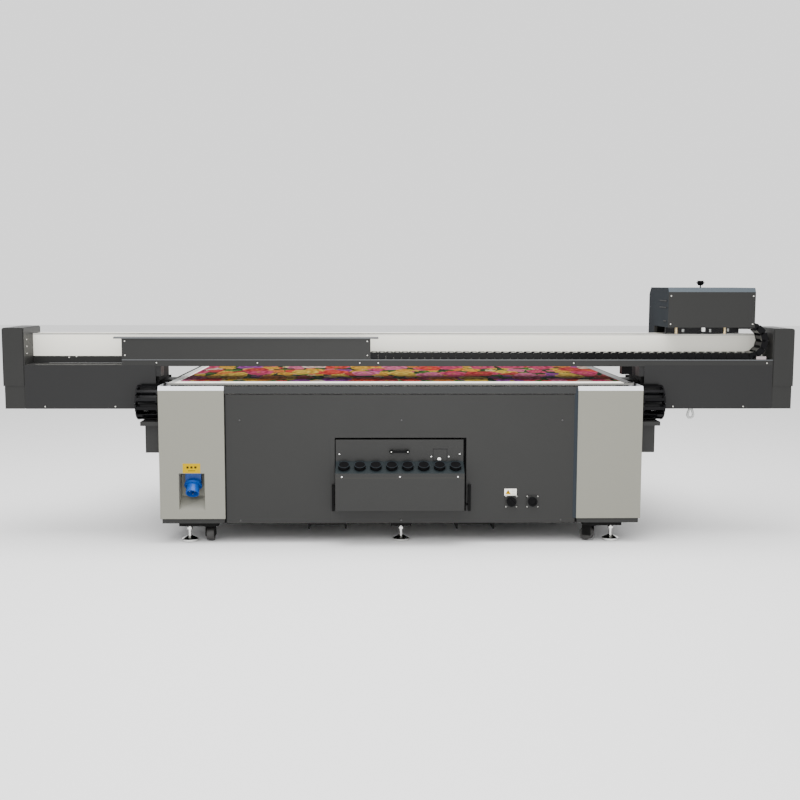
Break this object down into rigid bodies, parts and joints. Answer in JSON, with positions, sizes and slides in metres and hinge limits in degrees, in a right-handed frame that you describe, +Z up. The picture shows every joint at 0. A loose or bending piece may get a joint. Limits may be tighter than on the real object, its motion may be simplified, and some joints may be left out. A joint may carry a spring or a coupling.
{
  "type": "flatbed uv printer",
  "caption": "Flatbed UV printer: a cabinet with a vacuum table, a travelling gantry beam with side wings, and a print carriage fed by energy chains.",
  "frame": {"origin": "on the floor, below the middle of the machine's bounding box", "axes": "+X along the gantry beam with the parked carriage at its +X end, +Y from the service side to the operator's side, +Z up"},
  "size_m": [4.5, 1.8424, 1.481],
  "materials": {
    "dark_panel": "fine textured dark grey powder coat",
    "light_panel": "satin light grey powder coat",
    "cream_paint": "smooth cream paint",
    "table_aluminium": "anodised and drilled",
    "printed_face": "printed floral face",
    "frame_paint": "black paint",
    "ground_steel": "ground",
    "chain_plastic": "glossy black",
    "bright_steel": "bright plated",
    "inlet_blue": "blue moulding",
    "black_plastic": "moulded black",
    "grey_steel": "grey enamel",
    "tank_plastic": "natural polythene",
    "latch_steel": "polished",
    "stop_red": "red moulding",
    "caster_steel": "black plated",
    "caster_tread": "hard rubber",
    "hose_clear": "clear tube",
    "head_metal": "etched head plate"
  },
  "bodies": {
    "base": {"base_frame": "frame_paint", "vacuum_table": "table_aluminium", "printed_board": "printed_face", "y_guideway": "ground_steel", "rear_panel": "dark_panel", "front_panel": "dark_panel", "rear_left_cover": "light_panel", "rear_right_cover": "light_panel", "front_covers": "light_panel", "side_panels": "dark_panel", "y_chain_trays": "frame_paint", "y_chain_runs": "chain_plastic", "under_brackets": "frame_paint", "feet": "bright_steel", "power_inlet": "inlet_blue", "control_bases": "black_plastic", "panel_screws": "bright_steel", "vacuum_blower": "grey_steel", "electrics_box": "grey_steel", "ink_box_hinges": "frame_paint"},
    "ink_box": {"ink_box": "dark_panel", "ink_tanks": "tank_plastic", "ink_box_handle": "black_plastic"},
    "latch": {"latch_knob": "latch_steel"},
    "switch": {"switch_knob": "black_plastic"},
    "stop": {"stop_button": "stop_red"},
    "gantry": {"gantry_beam": "cream_paint", "gantry_frame": "frame_paint", "left_wing_cover": "dark_panel", "right_wing_cover": "dark_panel", "end_caps": "dark_panel", "centre_cover": "dark_panel", "x_chain_tray": "dark_panel", "x_chain_run": "chain_plastic", "y_travel_blocks": "ground_steel", "drain_hose": "hose_clear"},
    "side_chain_bends": {"y_chain_bends": "chain_plastic"},
    "cap_lift": {"cap_station": "frame_paint"},
    "carriage": {"carriage_cover": "dark_panel", "carriage_frame": "frame_paint"},
    "cross_chain_bend": {"x_chain_bend": "chain_plastic"},
    "heads": {"print_heads": "head_metal"},
    "knob": {"cover_knob": "black_plastic"},
    "cap_1": {"ink_cap_1": "black_plastic"},
    "cap_2": {"ink_cap_2": "black_plastic"},
    "cap_3": {"ink_cap_3": "black_plastic"},
    "cap_4": {"ink_cap_4": "black_plastic"},
    "cap_5": {"ink_cap_5": "black_plastic"},
    "cap_6": {"ink_cap_6": "black_plastic"},
    "cap_7": {"ink_cap_7": "black_plastic"},
    "cap_8": {"ink_cap_8": "black_plastic"},
    "swivel_rear_left": {"caster_fork_rear_left": "caster_steel"},
    "wheel_rear_left": {"caster_wheel_rear_left": "caster_tread"},
    "swivel_rear_right": {"caster_fork_rear_right": "caster_steel"},
    "wheel_rear_right": {"caster_wheel_rear_right": "caster_tread"},
    "swivel_front_left": {"caster_fork_front_left": "caster_steel"},
    "wheel_front_left": {"caster_wheel_front_left": "caster_tread"},
    "swivel_front_right": {"caster_fork_front_right": "caster_steel"},
    "wheel_front_right": {"caster_wheel_front_right": "caster_tread"}
  },
  "joints": [
    {"name": "gantry_travel", "type": "slide", "parent": "base", "child": "gantry", "axis": [0, 1, 0], "range_m": [0, 1.12], "deforming": ["y_chain_runs"]},
    {"name": "side_chain_roll", "type": "slide", "parent": "gantry", "child": "side_chain_bends", "axis": [0, 1, 0], "range_m": [-0.56, 0]},
    {"name": "carriage_travel", "type": "slide", "parent": "gantry", "child": "carriage", "axis": [1, 0, 0], "range_m": [-3.4, 0], "deforming": ["x_chain_run"]},
    {"name": "cross_chain_roll", "type": "slide", "parent": "carriage", "child": "cross_chain_bend", "axis": [1, 0, 0], "range_m": [0, 1.7]},
    {"name": "head_lift", "type": "slide", "parent": "carriage", "child": "heads", "axis": [0, 0, 1], "range_m": [0, 0.08]},
    {"name": "cap_station_lift", "type": "slide", "parent": "gantry", "child": "cap_lift", "axis": [0, 0, 1], "range_m": [0, 0.03]},
    {"name": "cover_knob_turn", "type": "hinge", "parent": "carriage", "child": "knob", "pos_m": [1.733, -0.57375, 1.45], "axis": [0, 0, 1], "range_deg": [0, 720]},
    {"name": "ink_box_tilt", "type": "hinge", "parent": "base", "child": "ink_box", "pos_m": [0, -0.82875, 0.222], "axis": [1, 0, 0], "range_deg": [0, 25]},
    {"name": "latch_turn", "type": "hinge", "parent": "ink_box", "child": "latch", "pos_m": [0.212, -0.82375, 0.481], "axis": [0, 1, 0], "range_deg": [0, 90]},
    {"name": "switch_turn", "type": "hinge", "parent": "base", "child": "switch", "pos_m": [0.622, -0.83375, 0.237], "axis": [0, 1, 0], "range_deg": [0, 90]},
    {"name": "stop_press", "type": "slide", "parent": "base", "child": "stop", "axis": [0, -1, 0], "range_m": [0, 0.005], "stiffness_N_per_m": 2000, "springref_m": -0.004},
    {"name": "ink_cap_1_turn", "type": "hinge", "parent": "ink_box", "child": "cap_1", "pos_m": [-0.3215, -0.86875, 0.4385], "axis": [0, -0.44, 0.898], "range_deg": [0, 540]},
    {"name": "ink_cap_2_turn", "type": "hinge", "parent": "ink_box", "child": "cap_2", "pos_m": [-0.2325, -0.86875, 0.4385], "axis": [0, -0.44, 0.898], "range_deg": [0, 540]},
    {"name": "ink_cap_3_turn", "type": "hinge", "parent": "ink_box", "child": "cap_3", "pos_m": [-0.1435, -0.86875, 0.4385], "axis": [0, -0.44, 0.898], "range_deg": [0, 540]},
    {"name": "ink_cap_4_turn", "type": "hinge", "parent": "ink_box", "child": "cap_4", "pos_m": [-0.0545, -0.86875, 0.4385], "axis": [0, -0.44, 0.898], "range_deg": [0, 540]},
    {"name": "ink_cap_5_turn", "type": "hinge", "parent": "ink_box", "child": "cap_5", "pos_m": [0.0345, -0.86875, 0.4385], "axis": [0, -0.44, 0.898], "range_deg": [0, 540]},
    {"name": "ink_cap_6_turn", "type": "hinge", "parent": "ink_box", "child": "cap_6", "pos_m": [0.1235, -0.86875, 0.4385], "axis": [0, -0.44, 0.898], "range_deg": [0, 540]},
    {"name": "ink_cap_7_turn", "type": "hinge", "parent": "ink_box", "child": "cap_7", "pos_m": [0.2125, -0.86875, 0.4385], "axis": [0, -0.44, 0.898], "range_deg": [0, 540]},
    {"name": "ink_cap_8_turn", "type": "hinge", "parent": "ink_box", "child": "cap_8", "pos_m": [0.3015, -0.86875, 0.4385], "axis": [0, -0.44, 0.898], "range_deg": [0, 540]},
    {"name": "caster_swivel_rear_left", "type": "hinge", "parent": "base", "child": "swivel_rear_left", "pos_m": [-1.085, -0.76375, 0.094], "axis": [0, 0, 1], "continuous": true},
    {"name": "caster_roll_rear_left", "type": "hinge", "parent": "swivel_rear_left", "child": "wheel_rear_left", "pos_m": [-1.085, -0.74175, 0.039], "axis": [1, 0, 0], "continuous": true},
    {"name": "caster_swivel_rear_right", "type": "hinge", "parent": "base", "child": "swivel_rear_right", "pos_m": [1.085, -0.76375, 0.094], "axis": [0, 0, 1], "continuous": true},
    {"name": "caster_roll_rear_right", "type": "hinge", "parent": "swivel_rear_right", "child": "wheel_rear_right", "pos_m": [1.06698, -0.75113, 0.039], "axis": [0.5736, 0.8192, 0], "continuous": true},
    {"name": "caster_swivel_front_left", "type": "hinge", "parent": "base", "child": "swivel_front_left", "pos_m": [-1.085, 0.81625, 0.094], "axis": [0, 0, 1], "continuous": true},
    {"name": "caster_roll_front_left", "type": "hinge", "parent": "swivel_front_left", "child": "wheel_front_left", "pos_m": [-1.09252, 0.79558, 0.039], "axis": [-0.9397, 0.342, 0], "continuous": true},
    {"name": "caster_swivel_front_right", "type": "hinge", "parent": "base", "child": "swivel_front_right", "pos_m": [1.085, 0.81625, 0.094], "axis": [0, 0, 1], "continuous": true},
    {"name": "caster_roll_front_right", "type": "hinge", "parent": "swivel_front_right", "child": "wheel_front_right", "pos_m": [1.09252, 0.79558, 0.039], "axis": [-0.9397, -0.342, 0], "continuous": true}
  ],
  "couplings": [
    {"joint": "side_chain_roll", "follows": "gantry_travel", "ratio": -0.5},
    {"joint": "cross_chain_roll", "follows": "carriage_travel", "ratio": -0.5}
  ]
}
